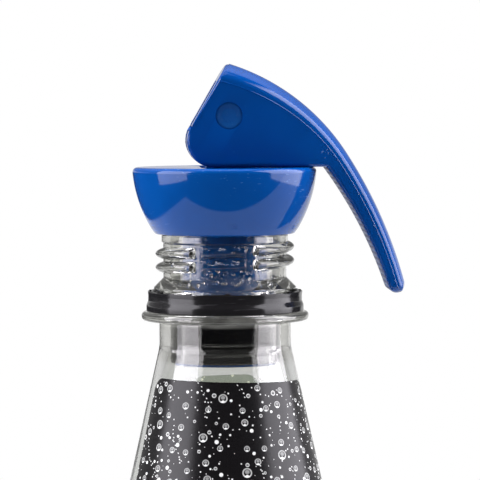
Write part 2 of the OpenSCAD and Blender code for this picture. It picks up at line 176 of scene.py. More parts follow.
def applyAll(piece):
    makeActive(piece)
    for m in list(piece.modifiers):
        bpy.ops.object.modifier_apply(modifier=m.name)


def cut(piece, *tools, how="DIFFERENCE"):
    for tool in tools:
        m = piece.modifiers.new("cut", "BOOLEAN")
        m.operation, m.solver, m.object = how, "EXACT", tool
    applyAll(piece)
    for tool in tools:
        bpy.data.objects.remove(tool)


def softEdges(piece, width, segments, angle):
    m = piece.modifiers.new("edges", "BEVEL")
    m.width, m.segments = width * mm, segments
    m.limit_method, m.angle_limit, m.harden_normals = "ANGLE", math.radians(angle), False
    applyAll(piece)


def smooth(piece, angle):
    makeActive(piece)
    bpy.ops.object.shade_smooth_by_angle(angle=math.radians(angle))
    deselectAll()


def paint(piece, *materials):
    piece.data.materials.clear()
    for m in materials:
        piece.data.materials.append(m)


def moveVertices(piece, rule):
    # rule gives a vertex's new place from its old one, in millimetres
    for v in piece.data.vertices:
        v.co = Vector(rule(v.co / mm)) * mm
    piece.data.update()


def polar(radius, degrees):
    a = math.radians(degrees)
    return Vector((radius * math.cos(a), radius * math.sin(a)))


def eased(t):
    t = max(0.0, min(1.0, t))
    return t * t * (3 - 2 * t)


# shader tools: a socket that can be used in sums
class Value:

    def __init__(self, tree, socket):
        self.tree, self.socket = tree, socket

    def sum(self, operation, *values):
        return self.tree.add("ShaderNodeMath", {"operation": operation}, dict(enumerate(values)))

    def __add__(self, other): return self.sum("ADD", self, other)
    def __radd__(self, other): return self.sum("ADD", other, self)
    def __sub__(self, other): return self.sum("SUBTRACT", self, other)
    def __rsub__(self, other): return self.sum("SUBTRACT", other, self)
    def __mul__(self, other): return self.sum("MULTIPLY", self, other)
    def __rmul__(self, other): return self.sum("MULTIPLY", other, self)
    def __truediv__(self, other): return self.sum("DIVIDE", self, other)
    def __rtruediv__(self, other): return self.sum("DIVIDE", other, self)
    def __pow__(self, other): return self.sum("POWER", self, other)
    def over(self, other): return self.sum("GREATER_THAN", self, other)
    def under(self, other): return self.sum("LESS_THAN", self, other)
    def most(self, other): return self.sum("MAXIMUM", self, other)
    def size(self): return self.sum("ABSOLUTE", self)

    def ramp(self, low, high, toLow=0.0, toHigh=1.0):
        # an eased step from low to high
        reach = {"Value": self, "From Min": low, "From Max": high, "To Min": toLow, "To Max": toHigh}
        return self.tree.add("ShaderNodeMapRange", {"interpolation_type": "SMOOTHSTEP"}, reach)

    def within(self, low, lowEnd, high, highEnd):
        # up from low to lowEnd, and down again from high to highEnd
        return self.ramp(low, lowEnd) * (1.0 - self.ramp(high, highEnd))


# the nodes of a material or of the world
class Tree:

    def __init__(self, owner):
        owner.use_nodes = True
        self.nodes, self.links = owner.node_tree.nodes, owner.node_tree.links
        self.nodes.clear()

    def add(self, kind, settings=None, inputs=None, out=0):
        node = self.nodes.new(kind)
        for key, value in (settings or {}).items():
            setattr(node, key, value)
        for key, value in (inputs or {}).items():
            socket = node.inputs[key]
            if isinstance(value, Value):
                self.links.new(value.socket, socket)
            elif isinstance(value, tuple) and len(value) == 3 and socket.type == "RGBA":
                socket.default_value = (*value, 1)
            else:
                socket.default_value = value
        return Value(self, node.outputs[out]) if node.outputs else None

    def coords(self, kind="Object"):
        return self.add("ShaderNodeTexCoord", out=kind)

    def split(self, vector):
        node = self.add("ShaderNodeSeparateXYZ", inputs={0: vector}).socket.node
        return [Value(self, s) for s in node.outputs]

    def joined(self, x, y, z=0.0):
        return self.add("ShaderNodeCombineXYZ", inputs={0: x, 1: y, 2: z})

    def noise(self, vector, scale, detail=2.0):
        inputs = {"Vector": vector, "Scale": scale, "Detail": detail}
        return self.add("ShaderNodeTexNoise", inputs=inputs, out="Fac")

    def stretched(self, vector, scale):
        return self.add("ShaderNodeMapping", inputs={"Vector": vector, "Scale": scale})

    def blend(self, share, a, b):
        return self.add("ShaderNodeMix", {"data_type": "RGBA"}, {0: share, 6: a, 7: b}, out=2)

    def vector(self, operation, a, b, out=0):
        return self.add("ShaderNodeVectorMath", {"operation": operation}, {0: a, 1: b}, out)

    def bump(self, height, strength, distance):
        inputs = {"Height": height, "Strength": strength, "Distance": distance}
        return self.add("ShaderNodeBump", inputs=inputs)

    def principled(self, **inputs):
        named = {key.replace("_", " "): value for key, value in inputs.items()}
        surface = self.add("ShaderNodeBsdfPrincipled", inputs=named)
        self.add("ShaderNodeOutputMaterial", inputs={"Surface": surface})
        return surface


def newMaterial(name):
    material = bpy.data.materials.new(name)
    return material, Tree(material)


# materials
blue = {"colour": (0.0006, 0.072, 0.320), "deep": (0.0004, 0.063, 0.285), "roughness": 0.05, "specular": 0.42,
        "ior": 1.49, "speck": (0.02, 0.13, 0.46), "scuff": (0.10, 0.24, 0.55), "scratch": (0.30, 0.42, 0.66),
        "turned": (0.03, 0.11, 0.30), "groove": (0.09, 0.11, 0.24), "grooves": 5.2, "grooveWay": (0.55, -0.84)}


def bluePlastic(name, colour=blue["colour"], deep=blue["deep"], roughness=blue["roughness"],
                specular=blue["specular"], scuffs=0.0, rubbed=None, swirl=False):
    # rubbed is the place (x, z) of the scratches in millimetres
    material, t = newMaterial(name)
    place = t.coords()
    cloud = t.noise(place, 60.0, 3.0)
    base = t.blend(cloud.ramp(0.35, 0.65), colour, deep)
    speck = t.noise(place, 900.0, 2.0).ramp(0.70, 0.78)
    base = t.blend(speck * 0.12, base, blue["speck"])
    rough = roughness + cloud * 0.03 + speck * 0.05
    height = t.noise(place, 35.0, 1.0) * 0.6
    if scuffs:
        streak = t.noise(t.stretched(place, (900.0, 60.0, 2600.0)), 1.0, 3.0).ramp(0.635, 0.71)
        patch = t.noise(place, 90.0, 1.0).ramp(0.54, 0.66)
        rub = streak * patch * scuffs
        # dried drops dull the shine in round spots
        node = t.add("ShaderNodeTexVoronoi", inputs={"Vector": place, "Scale": 170.0}).socket.node
        kept = t.add("ShaderNodeSeparateColor", inputs={0: Value(t, node.outputs["Color"])}).under(0.30)
        spot = (1.0 - Value(t, node.outputs["Distance"]).ramp(0.085, 0.11)) * kept
        base = t.blend(rub, base, blue["scuff"])
        rough = rough + rub * 0.25 + spot * 0.45
    if rubbed:
        # a patch of short light scratches where the arm meets the head
        x, y, z = t.split(place)
        x, z = (x - rubbed[0] * mm) / mm, (z - rubbed[1] * mm) / mm
        along, across = (x + z) * 0.7071, (x - z) * 0.7071  # turned by 45 degrees
        near = (1.0 - (x * x * 0.5 + z * z).ramp(0.5, 1.3)) * y.under(0.0)
        line = t.noise(t.joined(along * 0.9, across * 5.5), 1.0, 2.0).ramp(0.61, 0.66)
        base = t.blend(line * near * 0.85, base, blue["scratch"])
        rough = rough + line * near * 0.3
    if swirl:
        # rings about the pin's axis, as turning leaves them
        x, _, z = t.split(place)
        x, z = x - pinX * mm, z - pinZ * mm
        far = (x * x + z * z) ** 0.5
        ring = t.noise(t.joined(x.sum("ARCTAN2", x, z) * 1.5, far * 900.0), 1.0, 3.0)
        height = height + ring * 2.2
        base = t.blend(ring.ramp(0.5, 0.8) * 0.5, base, blue["turned"])
    t.principled(Base_Color=base, Roughness=rough, IOR=blue["ior"], Specular_IOR_Level=specular,
                 Normal=t.bump(height, 0.12, 0.0004))
    return material


def flutedPlastic():
    # the arm's inner side, with the fine marks of the mould across it
    material, t = newMaterial("leverInnerBlue")
    place = t.coords()
    x, _, z = t.split(place)
    way = (x * blue["grooveWay"][0] + z * blue["grooveWay"][1]) / mm * blue["grooves"]
    mark = way.sum("SINE", way).ramp(-0.4, 0.6)
    cloud = t.noise(place, 90.0)
    base = t.blend(mark, blue["deep"], blue["groove"])
    t.principled(Base_Color=base, Roughness=0.34 + mark * 0.16 + cloud * 0.08, IOR=blue["ior"],
                 Specular_IOR_Level=0.3, Normal=t.bump(mark, 0.35, 0.00006))
    return material


# heights here are in metres
# the ring and bead's glow is painted light
clear = {"wall": (0.84, 0.845, 0.83), "neckDark": (0.63, 0.63, 0.60), "neckPale": (0.74, 0.74, 0.715),
         "paintedGlow": (0.060, 0.060, 0.057), "ior": 1.54, "neckFrom": (0.2040, 0.2065),
         "bead": (0.2180, 0.2190, 0.2212, 0.2224), "ring": (0.2118, 0.2124, 0.2146, 0.2150)}


def clearPlastic():
    # the thick neck is greyer and more uneven than the blown wall under it
    material, t = newMaterial("clearBottle")
    place = t.coords()
    _, _, z = t.split(place)
    neck = z.ramp(*clear["neckFrom"])
    wave = t.noise(t.stretched(place, (90.0, 90.0, 45.0)), 1.0)
    fine = t.noise(place, 420.0)
    lumps = t.noise(t.stretched(place, (260.0, 260.0, 420.0)), 1.0, 3.0)
    grey = lumps.ramp(0.35, 0.7)
    # the thick ring and bead glow a little, painted light standing in for their milky look
    glowShare = (z.within(*clear["bead"]) * 0.35).most(z.within(*clear["ring"]))
    paintedGlow = t.blend(glowShare * (0.3 + lumps.ramp(0.3, 0.7) * 0.7), (0.0, 0.0, 0.0), clear["paintedGlow"])
    base = t.blend(neck, clear["wall"], t.blend(grey, clear["neckDark"], clear["neckPale"]))
    t.principled(Base_Color=base, Roughness=fine.ramp(0.4, 0.75, 0.012, 0.035) + neck * 0.02, IOR=clear["ior"],
                 Transmission_Weight=1.0, Emission_Color=paintedGlow, Emission_Strength=1.0,
                 Normal=t.bump(wave * 0.8 + fine * 0.05 + lumps * neck * 0.5, 0.12, 0.0006))
    return material


def waterClear():
    material, t = newMaterial("water")
    place = t.coords()
    t.principled(Base_Color=(1.0, 1.0, 1.0), Roughness=0.0, IOR=1.33, Transmission_Weight=1.0,
                 Normal=t.bump(t.noise(place, 1500.0), 0.05, 0.0001))
    return material


bubbleSets = {
    # cell, smallest and largest radius in millimetres, share of the cells that hold one, seed
    "rings": (3.7, 0.56, 0.96, 0.80, 1.0),
    "rounds": (3.3, 0.28, 0.50, 0.55, 5.0),
    "dots": (2.1, 0.13, 0.40, 0.55, 9.0),
    "specks": (1.35, 0.06, 0.16, 0.42, 13.0),
}
printEdge = 0.055  # half the width in which a printed edge fades, in millimetres
strings = {"apart": 7.3, "step": 0.78, "sway": 0.8, "lean": 0.22, "share": 0.56}
uvUnit = 0.01  # one millimetre of label in its UV maps
# through is the glow of the label's glued side, painted light
inks = {"film": ((0.005, 0.0045, 0.005), (0.010, 0.0095, 0.010)), "print": (0.90, 0.92, 0.88), "ior": 1.36,
        "glued": ((0.16, 0.18, 0.15), (0.24, 0.26, 0.22)), "gluedPrint": (0.62, 0.62, 0.50), "through": 1.5}


def bubbleCell(t, flat, kind):
    # the nearest bubble of one kind: its middle, its radius and whether its cell holds one
    cell, low, high, share, seed = bubbleSets[kind]
    shift = (seed * 3.7, seed * 1.9, 0.0)
    node = t.add("ShaderNodeTexVoronoi", {"voronoi_dimensions": "2D"},
                 {"Vector": t.vector("ADD", flat, shift), "Scale": 1.0 / cell, "Randomness": 0.84}).socket.node
    colour = t.add("ShaderNodeSeparateColor", inputs={0: Value(t, node.outputs["Color"])}).socket.node
    middle = t.vector("SUBTRACT", Value(t, node.outputs["Position"]), shift)
    radius = low + (high - low) * Value(t, colour.outputs[1]) ** 2.0
    return middle, radius, Value(t, colour.outputs[0]).under(share)


def bubbleAt(t, flat, kind, larger=()):
    # one bubble seen from its middle, left out where it would touch a larger kind
    middle, radius, shown = bubbleCell(t, flat, kind)
    for other in larger:
        otherMiddle, otherRadius, otherShown = bubbleCell(t, middle, other)
        apart = t.vector("DISTANCE", middle, otherMiddle, out=1)
        shown = shown * (1.0 - otherShown * apart.under(radius + otherRadius + 0.12))
    x, y, _ = t.split(t.vector("SUBTRACT", flat, middle))
    x, y = x / radius, y / radius
    return x, y, (x * x + y * y) ** 0.5, printEdge / radius, shown


def filled(far, edge):
    # a bubble's disc with a soft edge
    return 1.0 - far.ramp(1.0 - edge, 1.0 + edge)


def clearOf(below, y, edge):
    # whether the whole bubble is below the label's upper edge
    return (below + y * printEdge / edge).over(printEdge / edge + 0.1)


def bubblePrint(t, flat, below):
    # rings: a pale rim, a grey ball inside, a bright foot, and two dark windows between them
    x, y, far, edge, shown = bubbleAt(t, flat, "rings")
    shown = shown * clearOf(below, y, edge)
    disc = filled(far, edge)
    rim = far.ramp(0.73 - edge, 0.77 + edge) * disc * (0.60 - y * 0.12)
    foot = (-0.26 - y - x.size() * 0.55).ramp(0.0, 0.2) * disc
    ball = (1.0 - ((x * x * 0.8 + (y - 0.2) * (y - 0.2)) ** 0.5).ramp(0.28, 0.56)) * 0.34
    ink = rim.most(foot).most(ball) * shown
    # rounds: a softer rim and a dark slit across a grey middle
    _, y, far, edge, shown = bubbleAt(t, flat, "rounds", ("rings",))
    shown = shown * clearOf(below, y, edge)
    disc = filled(far, edge)
    rim = far.ramp(0.55, 0.80) * disc
    middle = (y + 0.05).size().ramp(0.12, 0.30) * 0.42 * disc
    ink = ink.most(rim.most(middle) * shown * 0.85)
    for kind in ("dots", "specks"):
        _, _, far, edge, shown = bubbleAt(t, flat, kind, ("rings", "rounds"))
        ink = ink.most(filled(far, edge) * shown)
    # strings of tiny bubbles that wander upwards
    s = strings
    x, y, _ = t.split(flat)
    wave = y * 0.42
    column = (x + wave.sum("SINE", wave) * s["sway"] + y * s["lean"]) / s["apart"]
    row = y / s["step"]
    across, up = column.sum("FLOOR", column), row.sum("FLOOR", row)
    chance = t.add("ShaderNodeTexWhiteNoise", {"noise_dimensions": "2D"}, {"Vector": t.joined(across, up)})
    kept = t.noise(t.joined(across * 3.1, y * 0.11), 1.0, 0.0).over(s["share"])
    x = (column - across - 0.5) * s["apart"] + (chance - 0.5) * 0.5
    y = (row - up - 0.5) * s["step"]
    string = ((x * x + y * y) ** 0.5).ramp(0.07, 0.17)
    return ink.most((1.0 - string) * kept)


def flatLabel(t):
    return t.add("ShaderNodeVectorMath", {"operation": "SCALE"},
                 {0: t.add("ShaderNodeUVMap", {"uv_map": "labelFlat"}), "Scale": 1.0 / uvUnit})


def labelFilm():
    material, t = newMaterial("labelFront")
    flat = flatLabel(t)
    below, _, _ = t.split(t.add("ShaderNodeUVMap", {"uv_map": "labelEdge"}))
    below = below * (1.0 / uvUnit)
    ink = bubblePrint(t, flat, below) * below.ramp(0.05, 0.22)
    grain = t.noise(flat, 9.0, 3.0)
    base = t.blend(ink, t.blend(grain, *inks["film"]), inks["print"])
    t.principled(Base_Color=base, Roughness=0.19 + grain * 0.08 + ink * 0.1, IOR=inks["ior"],
                 Normal=t.bump(t.noise(flat, 14.0) + ink * 0.1, 0.16, 0.00003))
    return material


def labelBack():
    # the label's glued side, seen through the wall; it glows in its own colour, painted light standing in for
    # light that comes through the film
    material, t = newMaterial("labelInside")
    flat = flatLabel(t)
    _, _, far, _, shown = bubbleAt(t, flat, "dots")
    ink = (1.0 - far.ramp(0.75, 1.2)) * shown
    _, _, far, _, shown = bubbleAt(t, flat, "rounds")
    ink = ink.most((1.0 - far.ramp(0.8, 1.1)) * shown)
    base = t.blend(t.noise(flat, 2.0, 3.0), *inks["glued"])
    base = t.blend(ink * 0.8, base, inks["gluedPrint"])
    t.principled(Base_Color=base, Roughness=0.5 + ink * 0.1, IOR=1.3,
                 Emission_Color=base, Emission_Strength=inks["through"])
    return material


black = {"plastic": ((0.009, 0.009, 0.010), (0.016, 0.0155, 0.016)), "scratch": (0.06, 0.06, 0.062),
         "plasticIor": 1.40, "rubber": ((0.004, 0.004, 0.0045), (0.009, 0.0085, 0.009)), "rubberIor": 1.8}


def blackPlastic():
    material, t = newMaterial("bandPlastic")
    place = t.coords()
    cloud = t.noise(place, 120.0, 3.0)
    scratch = t.noise(t.stretched(place, (300.0, 300.0, 2400.0)), 1.0).ramp(0.62, 0.75)
    base = t.blend(scratch * 0.3, t.blend(cloud, *black["plastic"]), black["scratch"])
    t.principled(Base_Color=base, Roughness=0.12 + cloud * 0.06 + scratch * 0.1, IOR=black["plasticIor"],
                 Normal=t.bump(t.noise(place, 260.0), 0.2, 0.0003))
    return material


def blackRubber():
    material, t = newMaterial("plugRubber")
    place = t.coords()
    wet = t.noise(place, 180.0).ramp(0.5, 0.6)
    t.principled(Base_Color=t.blend(t.noise(place, 160.0, 3.0), *black["rubber"]), Roughness=wet * 0.12 + 0.08,
                 IOR=black["rubberIor"], Normal=t.bump(t.noise(place, 160.0), 0.15, 0.0003))
    return material


blues = {
    "lever": {"colour": (0.0005, 0.060, 0.278), "deep": (0.0003, 0.052, 0.245), "rubbed": (20.0, 245.7)},
    "cap": {"scuffs": 0.5},
    # the boss sits under the neck's glass, which shades it; its blue is painted lighter than the cap's, as
    # painted light
    "boss": {"colour": (0.0015, 0.105, 0.45), "deep": (0.001, 0.092, 0.40), "roughness": 0.08, "specular": 0.3},
    "stem": {"roughness": 0.13},
    "pin": {"colour": (0.003, 0.074, 0.29), "deep": (0.006, 0.078, 0.27), "roughness": 0.18, "specular": 0.5,
            "swirl": True},
}
materials = {
    **{piece: bluePlastic(piece + "Blue", **look) for piece, look in blues.items()},
    "leverUnder": flutedPlastic(),
    "clear": clearPlastic(),
    "water": waterClear(),
    "label": labelFilm(),
    "labelInside": labelBack(),
    "band": blackPlastic(),
    "rubber": blackRubber(),
}
print("materials made:", len(materials))

# bottle
bottle = {
    "bodyR": 32.5, "wall": 0.5, "coneTop": 22.2, "thinning": 24.0, "shoulderR": 26.0, "steps": 240,
    "lip": 1.5, "rimR": 12.47, "rootR": 12.15, "beadR": 14.05, "flareTop": 8.6, "beadTop": 1.9, "beadFoot": 2.2,
    "beadEnd": 3.1, "ringR": 16.5, "ringTop": 15.3, "ringBottom": 17.0, "ringEdge": 0.7, "neckR": 13.0,
    "heelZ": 32.0, "heelR": 20, "footZ": 14, "footIn": 1.5, "footR": 12, "pad": (17, 23), "padEdge": 5,
    "dimpleR": 5, "dimpleZ": 6.5, "dimpleEdge": 2.5,
    "threadR": 13.7, "pitch": 2.7, "threadBase": 2.15, "threadTurn": 650.0, "threadStart": 2.17,
    "threadEnd": 9.0, "threadFrom": 135.0, "threadEase": 24,
    "vents": (-27.0, 21.5, 153.0, 201.5), "ventW": 8.0, "ventEase": 2.4,
    "feet": 5, "valleyR": 4.5, "valleyTop": 40, "climb": 33.0, "flare": 13.0, "valleyDrop": 1.5,
    # the longest step along the outline above each height
    "rows": ((220.8, 0.13), (205, 0.45), (185, 1.5), (34, 5.0), (-1, 1.1)),
}


def coneRadius(depth):
    return bottle["neckR"] + (depth - bottle["coneTop"]) * math.tan(coneAngle)


def shellLine(wall):
    b = bottle
    # from the cone down to the middle of the base, for the outside or, with a wall, the inside
    coneEnd = b["coneTop"] + (b["bodyR"] - b["neckR"]) / math.tan(coneAngle)
    padIn, padOut = b["pad"]
    return [
        (b["bodyR"] - wall, rimZ - coneEnd - wall * math.tan(coneAngle / 2), b["shoulderR"]),
        (b["bodyR"] - wall, b["heelZ"], b["heelR"]),
        (b["bodyR"] - b["footIn"] - wall, b["footZ"], b["footR"] - wall),
        (padOut - wall * 0.3, wall, b["padEdge"] - wall),
        (padIn + wall * 0.3, wall, b["padEdge"] - wall),
        (b["dimpleR"] + wall, b["dimpleZ"] + wall, b["dimpleEdge"] + wall),
        (0, b["dimpleZ"] + wall, 0),
    ]


def rowStep(z):
    return next(step for above, step in bottle["rows"] if z > above)


def threadHeight(azimuth, depth):
    b = bottle
    turned = (b["threadFrom"] - azimuth) % 360
    nearest = min(abs((azimuth - v + 180) % 360 - 180) for v in b["vents"])
    mask = eased((nearest - b["ventW"] / 2 + b["ventEase"] / 4) / b["ventEase"])
    best, t = 0.0, turned
    while t <= b["threadTurn"] and mask:
        off = abs(depth - b["threadStart"] - b["pitch"] * t / 360)
        side = math.cos(min(1, off / b["threadBase"] * 2) * math.pi / 2) ** 0.6
        best = max(best, side * min(1, 0.1 + 0.9 * eased(min(t, b["threadTurn"] - t) / b["threadEase"])))
        t += 360
    return best * mask * (b["threadR"] - b["rootR"])


def offValleys(p, standOff):
    # pushes a point up, out of the valleys between the feet
    b = bottle
    climb, flare = math.radians(b["climb"]), math.radians(b["flare"])
    r = b["valleyR"] + standOff
    wide = r * math.cos(flare)
    best = None
    for i in range(b["feet"]):
        a = math.radians((i + 0.5) * 360 / b["feet"] - 90)
        s, t = p.x * math.cos(a) + p.y * math.sin(a), -p.x * math.sin(a) + p.y * math.cos(a)
        if s < 0:
            continue
        if abs(t) < wide:
            drop = math.sqrt(r * r - t * t) - r
        else:
            drop = r * math.sin(flare) - r - (abs(t) - wide) / math.tan(flare)
        top = b["dimpleZ"] - b["valleyDrop"] + s * math.tan(climb) + (drop + standOff) / math.cos(climb)
        depth = (top - p.z) * math.cos(climb)
        if best is None or depth > best[0]:
            best = (depth, a, s, t)
    depth, a, s, t = best
    push = 0.5 * (depth + math.sqrt(depth * depth + 0.5))
    if push < 0.02:  # too far off to matter
        return p
    s, z = s - push * math.sin(climb), p.z + push * math.cos(climb)
    return Vector((s * math.cos(a) - t * math.sin(a), s * math.sin(a) + t * math.cos(a), z))


def makeBottle():
    b = bottle
    flare, ring = rimZ - b["flareTop"], rimZ - b["ringTop"]
    outside = roundedLine([
        (boreR, rimZ, 0), (b["rimR"], rimZ, 0.4), (b["rimR"], rimZ - b["lip"], 0.15),
        (b["rootR"], rimZ - b["lip"] - (b["rimR"] - b["rootR"]), 0.1), (b["rootR"], flare, 0.3),
        (b["beadR"], flare - b["beadTop"], 0.12), (b["beadR"], flare - b["beadFoot"], 0.12),
        (b["rootR"], flare - b["beadEnd"], 0.2), (b["rootR"], ring, 0.25),
        (b["ringR"], ring, b["ringEdge"]), (b["ringR"], rimZ - b["ringBottom"], b["ringEdge"]),
        (b["neckR"], rimZ - b["ringBottom"], 0.4), (b["neckR"], rimZ - b["coneTop"], 8)] + shellLine(0))
    thinR = coneRadius(b["coneTop"] + b["thinning"]) - b["wall"] / math.cos(coneAngle)
    inside = roundedLine([
        (boreR, rimZ, 0), (boreR, rimZ - b["coneTop"], 4),
        (thinR, rimZ - b["coneTop"] - b["thinning"], 30)] + shellLine(b["wall"]))
    outer = spun("bottle_shell", finer(outside, rowStep), b["steps"])

    def shapeOutside(p):
        depth, r = rimZ - p.z, math.hypot(p.x, p.y)
        if 1.0 < depth < b["threadEnd"]:
            grow = threadHeight(math.degrees(math.atan2(p.y, p.x)) + 90, depth)
            # only what stands out of the neck's own line
            gain = max(0.0, b["rootR"] + grow - r)
            return p if not grow else Vector((p.x * (r + gain) / r, p.y * (r + gain) / r, p.z))
        return offValleys(p, 0.0) if p.z < b["valleyTop"] else p

    moveVertices(outer, shapeOutside)
    inner = spun("bottleInside", finer(inside, lambda z: max(rowStep(z), 1.1)), b["steps"])
    moveVertices(inner, lambda p: offValleys(p, b["wall"]) if p.z < b["valleyTop"] else p)
    makeActive(outer, inner)
    bpy.ops.object.join()
    bpy.ops.object.mode_set(mode="EDIT")
    bpy.ops.mesh.select_all(action="SELECT")
    bpy.ops.mesh.remove_doubles(threshold=0.003 * mm)  # joins the two walls at the rim
    bpy.ops.mesh.normals_make_consistent(inside=False)
    bpy.ops.object.mode_set(mode="OBJECT")
    smooth(outer, 50)
    paint(outer, materials["clear"])
    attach(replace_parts(outer, "bottle"), "bottle")
    return outer


bottleShell = makeBottle()
print("bottle made:", len(bottleShell.data.polygons), "faces")

# labels
labels = {"top": 28.2, "bottom": 96.0, "thick": 0.12, "gap": 0.02, "corner": 2.6, "cornerSteps": 8, "rows": 34,
          "droop": 0.1, "askew": 0.4, "fade": 40,
          "front": (5.0, 75.0, 110), "back": (178.0, 30.0, 44)}  # azimuth, half its angle, steps


def makeLabel(name, node, middle, half, steps):
    s = labels
    lift = (s["gap"] + s["thick"]) / math.cos(coneAngle)
    n, straight = s["cornerSteps"], s["bottom"] - s["top"] - 2 * s["corner"]
    corner = [s["corner"] * (1 - math.cos(math.radians(90 * i / n))) for i in range(n + 1)]
    depths = [s["top"] + c for c in corner]
    depths += [s["top"] + s["corner"] + straight * i / s["rows"] for i in range(1, s["rows"])]
    depths += [s["bottom"] - c for c in reversed(corner)]
    line = [Vector((coneRadius(d) + lift, rimZ - d)) for d in depths]
    piece = spun(name, line, steps, 2 * half, middle - half)

    def dropAt(off, depth):
        # the film sits a little askew and is cut straighter than the cone
        drop = s["askew"] * math.sin(off) + s["droop"] * (1 - math.cos(off))
        return drop * max(0, 1 - (depth - s["top"]) / s["fade"])

    def around(p):
        # degrees from the label's middle
        return (math.degrees(math.atan2(p.y, p.x)) + 90 - middle + 180) % 360 - 180

    def cornered(p):
        depth, r, off = rimZ - p.z, math.hypot(p.x, p.y), around(p)
        into = max(0.0, s["corner"] - min(depth - s["top"], s["bottom"] - depth))
        less = s["corner"] - math.sqrt(max(0, s["corner"] ** 2 - into ** 2))
        off *= 1 - math.degrees(less / r) / half
        a = math.radians(middle + off - 90)
        drop = dropAt(math.radians(off), depth)
        r += drop * math.tan(coneAngle)
        return Vector((r * math.cos(a), r * math.sin(a), p.z - drop))

    moveVertices(piece, cornered)
    # the cone unrolled flat, so that the print keeps its shape
    flat = piece.data.uv_layers.new(name="labelFlat")
    edge = piece.data.uv_layers.new(name="labelEdge")
    apex = bottle["coneTop"] - bottle["neckR"] / math.tan(coneAngle)
    for loop in piece.data.loops:
        p = piece.data.vertices[loop.vertex_index].co / mm
        off, depth = math.radians(around(p)), rimZ - p.z
        far, turn = (depth - apex) / math.cos(coneAngle), off * math.sin(coneAngle)
        below = (depth - s["top"] - dropAt(off, depth)) / math.cos(coneAngle)
        flat.data[loop.index].uv = (far * math.sin(turn) * uvUnit, (80 - far * math.cos(turn)) * uvUnit)
        edge.data[loop.index].uv = (below * uvUnit, 0)
    out = piece.data.polygons[0]
    if out.normal.dot(Vector((out.center.x, out.center.y, 0))) < 0:
        piece.data.flip_normals()
    thick = piece.modifiers.new("film", "SOLIDIFY")
    thick.thickness, thick.offset = s["thick"] * mm, -1
    thick.material_offset, thick.material_offset_rim = 1, 0
    paint(piece, materials["label"], materials["labelInside"])
    applyAll(piece)
    smooth(piece, 40)
    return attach(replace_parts(piece, node), "bottle")


makeLabel("label_front", "front_label", *labels["front"])
makeLabel("label_back", "back_label", *labels["back"])
print("labels made")

# tamper band
band = {"outer": 15.55, "height": 4.1, "waist": 0.35, "wall": 0.9, "gap": 0.02, "steps": 180, "seed": 7,
        "bridges": 12, "bridge": (0.45, 0.5), "bridgeW": (0.9, 1.5)}


def makeBand():
    s = band
    foot = rimZ - bottle["ringTop"] + s["gap"]
    top = foot + s["height"]
    outer, waist = s["outer"], s["outer"] - s["waist"]
    inner = waist - s["wall"]
    line = roundedLine([
        (inner, foot + 1.0, 0), (inner, foot, 0.2), (outer, foot, 0.25), (outer - 0.03, foot + 1.3, 1.2),
        (waist, foot + 2.1, 1.0), (waist, foot + 3.2, 1.0), (waist + 0.1, top, 0.15), (inner + 0.1, top, 0.2),
        (inner, foot + 1.0, 0)], 5)
    line[-1] = line[0].copy()
    piece = spun("tamper_ring", line, s["steps"])
    chance = random.Random(s["seed"])
    wobble = [chance.uniform(0, math.tau) for _ in range(5)]

    def worn(p):
        # the upper part is a little out of round, and its torn edge goes up and down
        a, r = math.atan2(p.y, p.x), math.hypot(p.x, p.y)
        high = eased((p.z - foot - 1.5) / 2.5)
        push = high * (0.05 * math.sin(2 * a + wobble[0]) + 0.035 * math.sin(5 * a + wobble[1]))
        drop = high * 0.05 * (math.sin(9 * a + wobble[2]) + math.sin(23 * a + wobble[3]) * 0.6 - 1.6)
        newR = r - 0.06 * high + push
        return Vector((p.x * newR / r, p.y * newR / r, p.z + drop))

    moveVertices(piece, worn)
    deep, tall = s["bridge"]
    stubs = []
    for i in range(s["bridges"]):
        a = math.radians(i * 360 / s["bridges"] - 90 + chance.uniform(-2, 2))
        deselectAll()
        bpy.ops.mesh.primitive_cube_add(size=1, location=(0, 0, 0))
        stub = bpy.context.object
        bpy.ops.object.mode_set(mode="EDIT")
        bpy.ops.transform.resize(value=(deep * mm, chance.uniform(*s["bridgeW"]) * mm, tall * mm))
        bpy.ops.mesh.subdivide(number_cuts=2, fractal=0.25, seed=i + 1)
        bpy.ops.object.mode_set(mode="OBJECT")
        height = top - 0.02 - chance.uniform(0, 0.12)
        stub.data.transform(Matrix.Translation(((waist - deep) * mm, 0, (height - 0.04) * mm)))
        stub.data.transform(Matrix.Rotation(a, 4, "Z"))
        stubs.append(stub)
    makeActive(piece, *stubs)
    bpy.ops.object.join()
    smooth(piece, 45)
    paint(piece, materials["band"])
    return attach(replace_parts(piece, "tamper_band"), "tamper_band")


makeBand()
print("tamper band made")

# stopper cap
cap = {"r": 18.2, "h": 13.15, "curve": 26.0, "lean": 3.0, "edge": 0.9, "foot": 0.7, "footIn": 0.1, "rows": 30,
       "bossR": 8.4, "bossL": 14.0, "seatR": 10.4, "seatX": 1.8, "seatSink": 2.94, "seatW": 16.7, "steps": 192}
stemBar = {"w": 9.0, "t": 6.0, "gap": 0.1}


def roundedBox(wide, deep, radius, steps=4):
    # an outline of (x, y) with rounded corners
    ring = []
    for cx, cy, first in ((1, 1, 0), (-1, 1, 90), (-1, -1, 180), (1, -1, 270)):
        for i in range(steps + 1):
            a = math.radians(first + 90 * i / steps)
            ring.append((cx * (wide / 2 - radius) + radius * math.cos(a),
                         cy * (deep / 2 - radius) + radius * math.sin(a)))
    return ring


def barTool(low, high, radius=0.4):
    # the stem's bar with its gap all round, to cut with
    gap = stemBar["gap"]
    ring = roundedBox(stemBar["w"] + 2 * gap, stemBar["t"] + 2 * gap, radius + gap)
    return drawnOut("bar", [[(x + pinX, y, z) for x, y in ring] for z in (low, high)])


